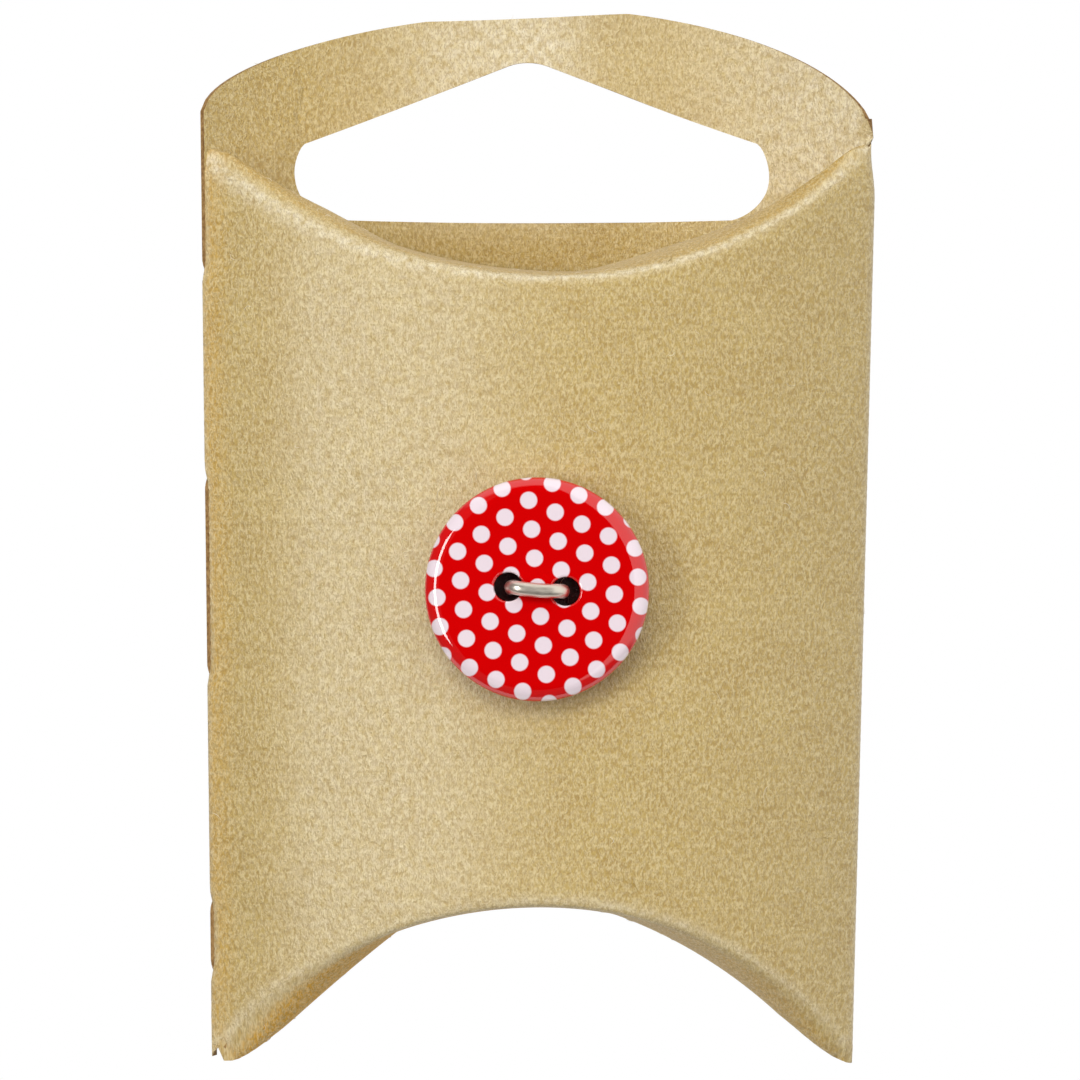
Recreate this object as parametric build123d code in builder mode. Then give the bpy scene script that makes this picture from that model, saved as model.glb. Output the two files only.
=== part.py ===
"""A button on its hanging card: a pillow-shaped pack folded from one sheet of card.

Millimetres, +Z up, the front faces -Y. The origin is the top of the hang hole,
half-way through the card, where a peg bears. Levels are heights above the line
through the pack's two top corners, and depths run from the plane of its side folds.
"""

import os
from math import cos, hypot, radians, sqrt, tan

from build123d import *

os.makedirs("parts", exist_ok=True)

# Card sheet
card_thickness = 0.45
layer_gap = 0.2
fold_bevel = 0.4

# Pillow: half widths and bulges at the top corners and at the bottom corners
panel_height = 76.6
top_half_width = 27.7
bottom_half_width = 26.4
top_bulge = 11.0
bottom_bulge = 13.0
crown_shift = 2.3
top_crease_depth = 11.7
bottom_crease_depth = 13.6
tip_relief = 1.5
inner_flap_length = 12.0

# Glue seam down the left side
seam_ledge = 0.4
glue_flap_width = 8.0
glue_flap_slant = 4.0

# Header above the pillow
header_tip = 2.2
header_rise = 11.2
header_flat = 16.8
header_shoulder = 1.9

# Hang hole
hole_apex = 7.2
hole_base = -6.1
hole_slant = 21.5
hole_apex_radius = 4.7
hole_end_radius = 4.0
hole_end_centre = 16.0
hole_end_level = -2.4

# Button
button_diameter = 18.0
button_thickness = 3.0
rim_width = 1.3
rim_drop = 0.75
back_bevel_width = 2.2
back_bevel_height = 0.9
edge_bevel = 0.25
sew_hole_diameter = 2.3
sew_hole_pitch = 4.6
sew_hole_bevel = 0.25
button_turn = -4.5
button_level = -36.0
button_gap = 0.1

# Staple
wire_diameter = 1.15
wire_bend = 0.95
wire_clearance = 0.25
wire_lift = 0.05
staple_end_gap = 0.9


def at_level(level, top, bottom):
    """Value at a level, for a size that changes evenly from top to bottom corners."""
    return top - (bottom - top) * level / panel_height


def half_width(level):
    return at_level(level, top_half_width, bottom_half_width)


def bulge(level):
    return at_level(level, top_bulge, bottom_bulge)


fold_depth = card_thickness / 2 - bulge(hole_apex)
corner_height = -hole_apex
fold_line = (0, fold_depth, corner_height)
front_view = Plane(fold_line, x_dir=(1, 0, 0), z_dir=(0, -1, 0))
side_view = Plane(fold_line, x_dir=(0, 1, 0), z_dir=(1, 0, 0))

FRONT = -1
BACK = 1
close_enough = 0.01
full_depth = 2 * max(top_bulge, bottom_bulge)
full_width = 2 * max(top_half_width, bottom_half_width)
top_crown = -top_crease_depth
bottom_crown = bottom_crease_depth - panel_height
sheet_top = top_crown + full_depth + card_thickness
sheet_bottom = bottom_crown - full_depth - card_thickness
crease_slope = bottom_crease_depth / bottom_half_width
layer_rise = (card_thickness + layer_gap) * hypot(1, crease_slope)


def level_plane(level):
    return Plane((0, fold_depth, corner_height + level))


def front_arcs(level):
    """Front panel's section: two arcs that meet at the crown, which lies off centre."""
    crown = (at_level(level, crown_shift, 0), -bulge(level))
    TangentArc(crown, (seam_ledge - half_width(level), 0), tangent=(-1, 0))
    TangentArc(crown, (half_width(level), 0), tangent=(1, 0))


def outer_section(level):
    """Outside of the pillow at a level, with the back panel's cut edge as a ledge."""
    half = half_width(level)
    with BuildSketch(level_plane(level)) as section:
        with BuildLine():
            front_arcs(level)
            ThreePointArc((-half, 0), (0, bulge(level)), (half, 0))
            Line((-half, 0), (seam_ledge - half, 0))
        make_face()
        chamfer(section.vertices().sort_by(Axis.X)[-1], fold_bevel)
    return section.sketch


def arc_radius(reach, rise):
    """Radius of an arc that falls by its rise over a reach to one side of its crown."""
    return (reach**2 + rise**2) / (2 * rise)


def inset_tip(level, inset, side):
    """Where the front and back arcs meet beside one fold, both inset by the same amount."""
    crown_x = at_level(level, crown_shift, 0)
    fold_x = half_width(level) if side > 0 else seam_ledge - half_width(level)
    front_radius = arc_radius(fold_x - crown_x, bulge(level))
    back_radius = arc_radius(half_width(level), bulge(level))
    front_centre = Vector(crown_x, front_radius - bulge(level))
    back_centre = Vector(0, bulge(level) - back_radius)
    apart = back_centre - front_centre
    front_inset, back_inset = front_radius - inset, back_radius - inset
    along = (front_inset**2 - back_inset**2 + apart.length**2) / (2 * apart.length)
    away = sqrt(front_inset**2 - along**2)
    toward = apart.normalized()
    beside = Vector(-toward.Y, toward.X)
    crossings = [front_centre + toward * along + beside * away * turn for turn in (-1, 1)]
    tip = max(crossings, key=lambda point: side * point.X)
    return (tip.X, tip.Y)


def inner_section(level, inset):
    """Inside of the pillow at a level: arcs a chosen inset in from the card's outer face."""
    crown = (at_level(level, crown_shift, 0), inset - bulge(level))
    left_tip = inset_tip(level, inset, -1)
    right_tip = inset_tip(level, inset, 1)
    with BuildSketch(level_plane(level)) as section:
        with BuildLine():
            TangentArc(crown, left_tip, tangent=(-1, 0))
            TangentArc(crown, right_tip, tangent=(1, 0))
            ThreePointArc(left_tip, (0, bulge(level) - inset), right_tip)
        make_face()
    return section.sketch


def room_section(level, inset):
    """Space for a flap: open in front, and an inset short of the back panel's outer face."""
    half = half_width(level) - tip_relief
    with BuildSketch(level_plane(level)) as section:
        with BuildLine():
            Polyline((-half, 0), (-half, -full_depth), (half, -full_depth), (half, 0))
            ThreePointArc((half, 0), (0, bulge(level) - inset), (-half, 0))
        make_face()
    return section.sketch


def loft_levels(section, *details):
    """Solid between the section at the sheet's bottom and the one at its top."""
    sections = [section(level, *details) for level in (sheet_bottom, sheet_top)]
    with BuildPart() as body:
        loft(sections, ruled=True)
    return body.part


def crease_plane(corner, crown, side):
    """Plane of a curved crease: through two corners and the crease's mid-point."""
    origin = (0, fold_depth, corner_height + corner)
    return Plane(origin, x_dir=(1, 0, 0), z_dir=(0, corner - crown, side * bulge(crown)))


def beyond_crease(corner, crown, side, end, half):
    """Space on one side of the fold plane that lies past a crease, out to an end level."""
    reach = full_depth / bulge(crown)
    depth = side * full_depth
    with BuildPart() as space:
        with BuildSketch(side_view):
            with BuildLine():
                Polyline(
                    (0, corner),
                    (depth, corner + reach * (crown - corner)),
                    (depth, end),
                    (0, end),
                    close=True,
                )
            make_face()
        extrude(amount=half, both=True)
    return space.part


def strip_space(side):
    """Space in front of or behind the fold plane, a relief short of the side folds."""
    low_x = half_width(sheet_bottom) - tip_relief
    high_x = half_width(sheet_top) - tip_relief
    with BuildPart() as space:
        with BuildSketch(front_view):
            with BuildLine():
                Polyline(
                    (-low_x, sheet_bottom),
                    (low_x, sheet_bottom),
                    (high_x, sheet_top),
                    (-high_x, sheet_top),
                    close=True,
                )
            make_face()
        extrude(amount=-side * full_depth)
    return space.part


def fold_panel(panel, crease, end, room):
    """Panel folded on a curved crease: what lies past it is mirrored in the crease's plane."""
    plane = crease_plane(*crease)
    past = beyond_crease(*crease, end, full_width)
    with BuildPart() as flap:
        add(panel)
        add(past, mode=Mode.INTERSECT)
        mirror(about=plane, mode=Mode.REPLACE)
    with BuildPart() as folded:
        add(panel)
        add(past, mode=Mode.SUBTRACT)
        add(flap.part)
        add(room, mode=Mode.INTERSECT)
    return folded.part


# The sheet glued into a sleeve, before its ends are cut and folded
pillow_outside = loft_levels(outer_section)
pillow_inside = loft_levels(inner_section, card_thickness)
with BuildPart() as sleeve:
    add(pillow_outside)
    add(pillow_inside, mode=Mode.SUBTRACT)

# Flap glued inside the back panel along the left fold
flap_outside = loft_levels(inner_section, card_thickness / 2)
flap_inside = loft_levels(inner_section, 2 * card_thickness)
with BuildPart() as glue_flap:
    with BuildSketch(front_view):
        with BuildLine():
            fold_x = -full_width / 2
            edge_x = glue_flap_width - top_half_width
            top_end = -glue_flap_slant
            bottom_end = glue_flap_slant - panel_height
            Polyline(
                (fold_x, top_end),
                (edge_x, top_end - glue_flap_slant),
                (edge_x, bottom_end + glue_flap_slant),
                (fold_x, bottom_end),
                close=True,
            )
        make_face()
    extrude(amount=-full_depth)
    add(flap_outside, mode=Mode.INTERSECT)
    add(flap_inside, mode=Mode.SUBTRACT)

# Creases, each as its corners' level, its crown's level and its side
top_front = (0, top_crown, FRONT)
bottom_front = (-panel_height, bottom_crown, FRONT)
bottom_back = (layer_rise - panel_height, layer_rise + bottom_crown, BACK)

# Flaps: the back panel's is short and inside, and the front panel's closes over it
closed_room = loft_levels(room_section, card_thickness + layer_gap)
open_room = loft_levels(room_section, layer_gap)
with BuildPart() as short_room:
    with BuildSketch(level_plane(sheet_bottom)):
        with Locations((0, bulge(bottom_crown) - inner_flap_length)):
            Rectangle(full_width, full_depth, align=(Align.CENTER, Align.MIN))
    extrude(amount=sheet_top - sheet_bottom)

# Trim above the header: short upright tips, curved shoulders and a straight top
with BuildPart() as header_trim:
    with BuildSketch(front_view):
        with BuildLine():
            tip_x = half_width(header_tip)
            flat_x = header_flat / 2
            edge_x = full_width
            Polyline((-tip_x, header_tip), (-edge_x, header_tip), (-edge_x, sheet_top))
            Polyline((-edge_x, sheet_top), (edge_x, sheet_top), (edge_x, header_tip))
            Line((edge_x, header_tip), (tip_x, header_tip))
            SagittaArc((tip_x, header_tip), (flat_x, header_rise), -header_shoulder)
            Line((flat_x, header_rise), (-flat_x, header_rise))
            SagittaArc((-flat_x, header_rise), (-tip_x, header_tip), -header_shoulder)
        make_face()
    extrude(amount=full_depth, both=True)

# Hang hole: a roof over a straight base, closed at both ends by round arcs
with BuildPart() as hang_hole:
    with BuildSketch(front_view) as hole_outline:
        with BuildLine():
            eaves_x = hole_end_centre + hole_end_radius
            ridge = hole_apex + hole_apex_radius * (1 / cos(radians(hole_slant)) - 1)
            eaves = ridge - eaves_x * tan(radians(hole_slant))
            Polyline(
                (-eaves_x, hole_base),
                (eaves_x, hole_base),
                (eaves_x, eaves),
                (0, ridge),
                (-eaves_x, eaves),
                close=True,
            )
        make_face()
        fillet(hole_outline.vertices().sort_by(Axis.Y)[-1], hole_apex_radius)
        with BuildSketch(mode=Mode.INTERSECT):
            Rectangle(2 * hole_end_centre, full_width)
            with Locations((-hole_end_centre, hole_end_level), (hole_end_centre, hole_end_level)):
                Circle(hole_end_radius)
    extrude(amount=-full_depth)

# Plane the button lies on, square to the front panel's crown
lean = (bottom_bulge - top_bulge) / panel_height
seat_depth = fold_depth - bulge(button_level) - button_gap
seat_origin = (0, seat_depth, corner_height + button_level)
seat_normal = Vector(0, -1, lean).normalized()
hole_line = Vector(1, 0, 0).rotate(Axis((0, 0, 0), seat_normal), button_turn)
seat = Plane(seat_origin, x_dir=hole_line, z_dir=seat_normal)
across = Plane(seat.origin, x_dir=seat.x_dir, z_dir=-seat.y_dir)
leg_spots = [(-sew_hole_pitch / 2, 0), (sew_hole_pitch / 2, 0)]

# Each panel between its side folds, before its ends are folded
front_space = strip_space(FRONT)
back_space = strip_space(BACK)
with BuildPart() as front_strip:
    add(sleeve.part)
    add(front_space, mode=Mode.INTERSECT)
with BuildPart() as back_strip:
    add(sleeve.part)
    add(back_space, mode=Mode.INTERSECT)

# Front panel: folded in at both ends, with a small hole for each leg of the staple
top_folded = fold_panel(front_strip.part, top_front, sheet_top, closed_room)
both_folded = fold_panel(top_folded, bottom_front, sheet_bottom, open_room)
with BuildPart() as front_panel:
    add(both_folded)
    with BuildSketch(seat):
        with Locations(*leg_spots):
            Circle(wire_diameter / 2 + wire_clearance)
    extrude(amount=-top_bulge, mode=Mode.SUBTRACT)

# Back panel: folded in at the bottom, and runs up into the header with its hang hole
back_folded = fold_panel(back_strip.part, bottom_back, sheet_bottom, short_room.part)
with BuildPart() as back_panel:
    add(back_folded)
    add(hang_hole.part, mode=Mode.SUBTRACT)

# The whole sheet: both panels, the strips along the side folds and the glued flap
past_creases = [
    beyond_crease(*top_front, sheet_top, full_width),
    beyond_crease(*bottom_front, sheet_bottom, full_width),
    beyond_crease(*bottom_back, sheet_bottom, full_width),
]
with BuildPart() as card_pack:
    add(sleeve.part)
    add([front_space, back_space], mode=Mode.SUBTRACT)
    add(past_creases, mode=Mode.SUBTRACT)
    add(front_panel.part)
    add(back_panel.part)
    add(header_trim.part, mode=Mode.SUBTRACT)
    add(glue_flap.part)
card_pack.part.label = "card_pack"
export_step(card_pack.part, "parts/card_pack.step")

# Button: a flat face, a rounded rim, a bevelled back and two holes with bevelled mouths
with BuildPart() as button:
    with BuildSketch(across) as button_profile:
        with BuildLine():
            radius = button_diameter / 2
            rim_start = (radius - rim_width, button_thickness)
            rim_end = (radius, button_thickness - rim_drop)
            TangentArc(rim_start, rim_end, tangent=(1, 0))
            Polyline(
                rim_end,
                (radius, back_bevel_height),
                (radius - back_bevel_width, 0),
                (0, 0),
                (0, button_thickness),
                rim_start,
            )
        make_face()
        chamfer(button_profile.vertices().group_by(Axis.X)[-1], edge_bevel)
    revolve(axis=Axis(seat.origin, seat.z_dir))
    with BuildSketch(seat):
        with Locations(*leg_spots):
            Circle(sew_hole_diameter / 2)
    extrude(amount=button_thickness, mode=Mode.SUBTRACT)
    rounds = button.edges().filter_by(GeomType.CIRCLE)
    mouths = rounds.filter_by(lambda edge: abs(edge.radius - sew_hole_diameter / 2) < close_enough)
    chamfer(mouths, sew_hole_bevel)
button.part.label = "button"
export_step(button.part, "parts/button.step")

# Staple: over the bridge between the two holes, through the card and clinched behind it
with BuildPart() as staple:
    with BuildLine(across) as wire_path:
        leg_x = sew_hole_pitch / 2
        end_x = staple_end_gap / 2
        crown_height = button_thickness + wire_lift + wire_diameter / 2
        clinch_height = -button_gap - card_thickness - layer_gap - wire_diameter / 2
        FilletPolyline(
            (-end_x, clinch_height),
            (-leg_x, clinch_height),
            (-leg_x, crown_height),
            (leg_x, crown_height),
            (leg_x, clinch_height),
            (end_x, clinch_height),
            radius=wire_bend,
        )
    with BuildSketch(Plane(wire_path.line @ 0, z_dir=wire_path.line % 0)):
        Circle(wire_diameter / 2)
    sweep()
staple.part.label = "staple"
export_step(staple.part, "parts/staple.step")
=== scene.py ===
"""Looks for a button on its hanging card: a folded kraft pillow pack, a spotted button, a wire staple."""

import functools
import math

import bmesh
import bpy
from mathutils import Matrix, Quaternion, Vector
from mathutils.geometry import delaunay_2d_cdt


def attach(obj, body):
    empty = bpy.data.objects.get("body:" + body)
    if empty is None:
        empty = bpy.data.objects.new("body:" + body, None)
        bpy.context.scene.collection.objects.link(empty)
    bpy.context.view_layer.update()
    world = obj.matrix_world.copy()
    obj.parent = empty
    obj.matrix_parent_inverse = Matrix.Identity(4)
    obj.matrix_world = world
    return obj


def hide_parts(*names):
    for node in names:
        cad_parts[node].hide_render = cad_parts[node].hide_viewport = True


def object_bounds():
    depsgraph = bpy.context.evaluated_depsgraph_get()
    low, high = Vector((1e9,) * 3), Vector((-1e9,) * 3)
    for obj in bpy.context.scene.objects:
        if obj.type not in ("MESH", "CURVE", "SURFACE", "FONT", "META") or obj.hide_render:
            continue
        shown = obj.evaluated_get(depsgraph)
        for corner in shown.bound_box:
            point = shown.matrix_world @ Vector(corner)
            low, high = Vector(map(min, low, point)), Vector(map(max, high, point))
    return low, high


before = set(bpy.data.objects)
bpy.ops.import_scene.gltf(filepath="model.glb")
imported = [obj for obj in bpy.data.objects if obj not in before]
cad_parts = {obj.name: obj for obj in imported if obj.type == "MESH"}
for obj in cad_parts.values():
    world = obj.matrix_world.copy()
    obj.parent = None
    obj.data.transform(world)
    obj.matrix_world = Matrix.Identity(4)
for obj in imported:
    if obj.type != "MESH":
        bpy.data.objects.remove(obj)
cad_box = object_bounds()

# The card: one die-cut blank of brown kraft board, creased along curves and glued down one side.
# Its flat blank is meshed first, in shares of the panel's width and levels, and then folded:
# share -1 to 1 is the front, 1 to 3 the back and under -1 the flap glued inside the back.
MM = 0.001
card_thickness = 0.45
layer_gap = 0.2
panel_height = 76.6
top_half_width = 27.7
bottom_half_width = 26.4
top_bulge = 11.0
bottom_bulge = 13.0
crown_shift = 2.3
top_crease_depth = 11.7
bottom_crease_depth = 13.6
inner_flap_length = 12.0
side_fold_softness = 0.028

# The back panel's lower crease lies above the front's by the flap laid over it and this much more.
back_corner_rise = 0.5

# Each crease's softness beside the left and the right fold.
crease_softness = {"top_front": (0.9, 0.45), "bottom_front": (0.45, 0.35), "bottom_back": (0.3, 0.3)}

# How far each side fold stands out past its even line, at its top and its bottom. The right
# one's comes in between two depths below the top corner.
left_spread = (0.15, 0.5)
right_spread = (0.4, -0.3)
right_spread_depths = (1.0, 5.0)

# The back panel's cut edge shows beyond the front's left edge in three stretches, by the ledge.
# Elsewhere it lies inside the front by the cover, and its lower corner is tucked in further.
seam_shown = ((-12.0, 13.0), (-45.5, -27.0), (-70.0, -62.0))
seam_fade = 2.0
seam_ledge = 0.3
seam_cover = 0.45
corner_tuck = 0.9
corner_tuck_depths = (72.5, 75.0)

# Where the end flaps have sprung open beside the left (-1) and right (1) fold: height, width of the
# rise from the fold, where the fall starts, its length and its power.
flap_springs = {
    "bottom_front": {-1: (3.0, 5.0, 5.8, 9.5, 1.4), 1: (2.2, 4.6, 6.2, 14.0, 1.0)},
    "top_front": {-1: (0.8, 3.0, 10.0, 6.0, 1.4), 1: (1.1, 2.5, 16.0, 8.0, 1.4)},
}
spring_rise_power = 0.7
shortest_flap = 0.5

# A sprung flap swells from its crease to its crest and keeps a part of that at its cut edge.
swell_crest = 0.4
swell_lost = 0.4

glue_flap_width = 8.0
glue_flap_slant = 4.0

# Header: its straight top runs between two places, and each shoulder is a slope plus a round drop.
header_tip = 1.6
header_top_left = (-9.3, 10.6)
header_top_right = (7.6, 11.25)
left_shoulder = (2.7, 6.0)
right_shoulder = (2.35, 9.2)
header_wave = ((-27.7, 0.0), (-19.6, 0.5), (5.4, -1.1), (10.6, -0.1), (27.7, 0.0))
wave_softness = 1.2
wave_levels = (-11, 0)

hole_apex = 7.2
hole_base = -6.3
hole_slant = math.radians(21.5)
hole_apex_radius = 4.7
hole_end_radius = 4.0
hole_end_centre = 16.0
hole_end_level = -2.4
hole_shift = 0.45
hole_sway = 0.35

# How closely the blank is meshed, and the rows beside each crease (in mm) and side fold (in shares).
grid_step = 0.75
edge_step = 0.4
hole_end_steps = 14
cut_margin = 0.01
row_clearance = 1.2
merge_distance = 1e-5
repeats = 12
crease_lines = (-1.8, -1.3, -0.9, -0.55, -0.3, -0.1, 0.1, 0.3, 0.55, 0.9, 1.3, 1.8)
fold_lines = (-0.07, -0.045, -0.028, -0.014, -0.004, 0.004, 0.014, 0.028, 0.045, 0.07)


def at_level(level, top, bottom):
    """Value at a level, for a size that changes evenly from top to bottom corners."""
    return top - (bottom - top) * level / panel_height


def half_width(level):
    return at_level(level, top_half_width, bottom_half_width)


def bulge(level):
    return at_level(level, top_bulge, bottom_bulge)


def eased(value, start, end):
    """Share of the way from start to end, held at 0 and 1 and eased at both."""
    share = max(0.0, min(1.0, (value - start) / (end - start)))
    return share * share * (3 - 2 * share)


fold_depth = card_thickness / 2 - bulge(hole_apex)
corner_height = -hole_apex
crease_slope = bottom_crease_depth / bottom_half_width
layer_rise = (card_thickness + layer_gap) * math.hypot(1, crease_slope) + back_corner_rise


def arc_depth(reach, rise, offset):
    """How far an arc has fallen from its crown, a given offset to the side of it."""
    radius = (reach * reach + rise * rise) / (2 * rise)
    return radius - math.sqrt(max(radius * radius - offset * offset, 0))


def front_depth(x, level):
    crown = at_level(level, crown_shift, 0)
    half = half_width(level)
    reach = half + crown if x < crown else half - crown
    return arc_depth(reach, bulge(level), x - crown) - bulge(level)


def back_depth(x, level):
    return bulge(level) - arc_depth(half_width(level), bulge(level), x)


def between_knots(x, knots):
    """Value at x on straight lines between places, each a place and its value."""
    held = max(knots[0][0], min(knots[-1][0], x))
    for (first, low_value), (second, high_value) in zip(knots, knots[1:]):
        if held <= second:
            return low_value + (high_value - low_value) * (held - first) / (second - first)
    return knots[-1][1]


def header_bow(x, level):
    """Depth added where the header has flattened between faint upright creases."""
    spread = (-1, -0.5, 0, 0.5, 1)
    wave = sum(between_knots(x + wave_softness * shift, header_wave) for shift in spread) / len(spread)
    return wave * eased(level, *wave_levels)


def soft_size(value, softness):
    """Size of a value, rounded off around zero."""
    return math.sqrt(value * value + softness * softness)


def side_spread(share, level):
    """How far the sheet reaches past its even line at the side fold nearest to a share."""
    if 0 < share < 2:
        return at_level(level, *right_spread) * eased(-level, *right_spread_depths)
    begun = [eased(level, low, low + seam_fade) for low, _ in seam_shown]
    ended = [eased(level, high - seam_fade, high) for _, high in seam_shown]
    shown = max(start * (1 - end) for start, end in zip(begun, ended))
    tucked = seam_cover * (1 - shown) + corner_tuck * eased(-level, *corner_tuck_depths)
    step = seam_ledge * shown if share < 0 else tucked
    return at_level(level, *left_spread) - step


def unfolded(share, level):
    """Point of the sleeve's outside before its ends are folded."""
    side = 1 if share > 0 else -1
    past = (share - side) * side
    size = soft_size(past, side_fold_softness)
    even = side * half_width(level) * (1 - past * past / size)
    flat = side * half_width(level) * (1 - abs(past))
    depth = front_depth(flat, level) if past < 0 else back_depth(flat, level)
    if share < 0:
        depth -= (card_thickness + layer_gap / 2) * (0.5 + 0.5 * past / size)
    if share > 1:
        depth += header_bow(even, level)
    return Vector((even * (1 + side_spread(share, level) / half_width(level)), depth, level))


def crease_plane(corner, crown, side):
    """Origin and unit normal of a curved crease's plane; the normal points past the crease."""
    normal = Vector((0, corner - crown, side * bulge(crown))).normalized()
    outward = 1 if corner > -panel_height / 2 else -1
    return Vector((0, 0, corner)), normal * (outward if normal.z > 0 else -outward)


creases = {
    "top_front": (0, -top_crease_depth, -1),
    "bottom_front": (-panel_height, bottom_crease_depth - panel_height, -1),
    "bottom_back": (layer_rise - panel_height, layer_rise + bottom_crease_depth - panel_height, 1),
}


@functools.cache
def crease_level(crease, share):
    """Level at which a crease crosses the sheet, found by a few repeats."""
    corner, crown, side = creases[crease]
    level = corner
    for _ in range(repeats):
        depth = unfolded(share, level).y * side
        level = corner + (crown - corner) * max(depth, 0) / bulge(crown)
    return level


def fold(point, crease):
    """Point of the sheet after a crease: what lies past the plane is mirrored in it."""
    corner, crown, side = creases[crease]
    origin, normal = crease_plane(corner, crown, side)
    past = (point - origin).dot(normal)
    left, right = crease_softness[crease]
    softness = left + (right - left) * (0.5 + 0.5 * point.x / top_half_width)
    return point - normal * (past + soft_size(past, softness))


@functools.cache
def flap_length(crease, share):
    """Length past a crease at which a flap's cut edge meets the opposite panel."""
    level = crease_level(crease, share)
    x = unfolded(share, level).x
    front, back = front_depth(x, level), back_depth(x, level)
    if crease == "bottom_back":
        return max(min(back - front - 2 * card_thickness - layer_gap, inner_flap_length), 0)
    inner = card_thickness + layer_gap if crease == "top_front" else layer_gap
    return max(back - front - inner, 0)


def spring(crease, share, level):
    """How far a flap has sprung open at a place past its crease."""
    side = 1 if share > 0 else -1
    height, rise, hold, fall, power = flap_springs[crease][side]
    inward = half_width(level) * (1 - abs(share))
    rising = math.sin(math.pi / 2 * min(1, max(inward / rise, 0)) ** spring_rise_power)
    falling = 1 - min(1, max(0, (inward - hold) / fall)) ** power
    along = abs(level - crease_level(crease, share)) / max(flap_length(crease, share), shortest_flap)
    swell = math.sin(math.pi / 2 * min(1, along / swell_crest))
    swell *= 1 - swell_lost * eased(along, swell_crest, 1)
    return height * rising * falling * swell


def header_top(x):
    """Header's cut edge: short tips, a rounded shoulder each side, and a nearly level top."""
    left, left_level = header_top_left
    right, right_level = header_top_right
    if left <= x <= right:
        return left_level + (right_level - left_level) * (x - left) / (right - left)
    start, level = (left, left_level) if x < left else (right, right_level)
    slope, drop = left_shoulder if x < left else right_shoulder
    share = min(abs(x - start) / (half_width(header_tip) - abs(start)), 1)
    return max(level - slope * share - drop * (1 - math.sqrt(1 - share * share)), header_tip)


def hole_upper(x):
    """Top edge of the hang hole: a roof with a round apex, closed by round ends."""
    ridge = hole_apex + hole_apex_radius * (1 / math.cos(hole_slant) - 1)
    roof = ridge - abs(x) * math.tan(hole_slant)
    if abs(x) < hole_apex_radius * math.sin(hole_slant):
        roof = hole_apex - hole_apex_radius + math.sqrt(hole_apex_radius**2 - x * x)
    beyond = max(abs(x) - hole_end_centre, 0)
    end = hole_end_level + math.sqrt(max(hole_end_radius**2 - beyond**2, 0))
    return min(roof, end) if beyond > 0 else roof


def hole_lower(x):
    beyond = max(abs(x) - hole_end_centre, 0)
    end = hole_end_level - math.sqrt(max(hole_end_radius**2 - beyond**2, 0))
    return max(hole_base, end) if beyond > 0 else hole_base


hole_tip = hole_end_centre + hole_end_radius


def swayed(x):
    """Where a place of the even hole lies on the card, whose hole leans a little to the left."""
    return x - hole_shift - hole_sway * (1 - (x / hole_tip) ** 2)


def unswayed(x):
    even = x
    for _ in range(repeats):
        even = x + hole_shift + hole_sway * (1 - (even / hole_tip) ** 2)
    return even


def top_edge(share):
    """Level of the blank's upper cut edge."""
    if share < -1:
        flap = (-1 - share) * top_half_width
        return -glue_flap_slant - min(flap / glue_flap_width, 1) * glue_flap_slant
    if share < 1:
        return crease_level("top_front", share) + flap_length("top_front", share)
    return header_top(half_width(0) * (2 - share))


def bottom_edge(share):
    """Level of the blank's lower cut edge."""
    if share < -1:
        flap = (-1 - share) * top_half_width
        return glue_flap_slant - panel_height + min(flap / glue_flap_width, 1) * glue_flap_slant
    crease = "bottom_front" if share < 1 else "bottom_back"
    return crease_level(crease, share) - flap_length(crease, share)


def steps(start, end, size):
    """Values from start to end, both included, about a size apart."""
    count = max(1, math.ceil(abs(end - start) / size))
    return [start + (end - start) * step / count for step in range(count + 1)]


first_share = -1 - glue_flap_width / top_half_width
last_share = 3.0
share_step = edge_step / top_half_width


def blank_outline():
    """Closed outline of the flat blank, as shares and levels, without repeats."""
    cuts = (first_share, -1, 1, last_share)
    inside = 1e-6
    upper, lower = [], []
    for start, end in zip(cuts, cuts[1:]):
        for share in steps(start + inside, end - inside, share_step):
            upper.append((share, top_edge(share)))
            lower.append((share, bottom_edge(share)))
    left = [(first_share, level) for level in steps(lower[0][1], upper[0][1], edge_step)][1:-1]
    right = [(last_share, level) for level in steps(upper[-1][1], lower[-1][1], edge_step)][1:-1]
    return left + upper + right + lower[::-1]


def hole_outline():
    """Closed outline of the hang hole in the back panel, closer together round its ends."""
    middle = steps(-hole_end_centre, hole_end_centre, edge_step)
    turns = [turn / hole_end_steps * math.pi / 2 for turn in range(1, hole_end_steps)]
    right = [hole_end_centre + hole_end_radius * math.sin(turn) for turn in turns]
    across = [-x for x in right[::-1]] + middle + right
    upper = [(x, hole_upper(x)) for x in across]
    lower = [(x, hole_lower(x)) for x in across[::-1]]
    ring = [(-hole_tip, hole_end_level)] + upper + [(hole_tip, hole_end_level)] + lower
    return [(2 - swayed(x) / half_width(level), level) for x, level in ring]


def in_hole(share, level, margin=0.0):
    if share < 1:
        return False
    x = unswayed(half_width(level) * (2 - share))
    if abs(x) > hole_tip + margin:
        return False
    held = max(-hole_tip, min(hole_tip, x))
    return hole_lower(held) - margin < level < hole_upper(held) + margin


def creases_of(share):
    if share > 1:
        return ("bottom_back",)
    return ("top_front", "bottom_front") if share > -1 else ()


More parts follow.
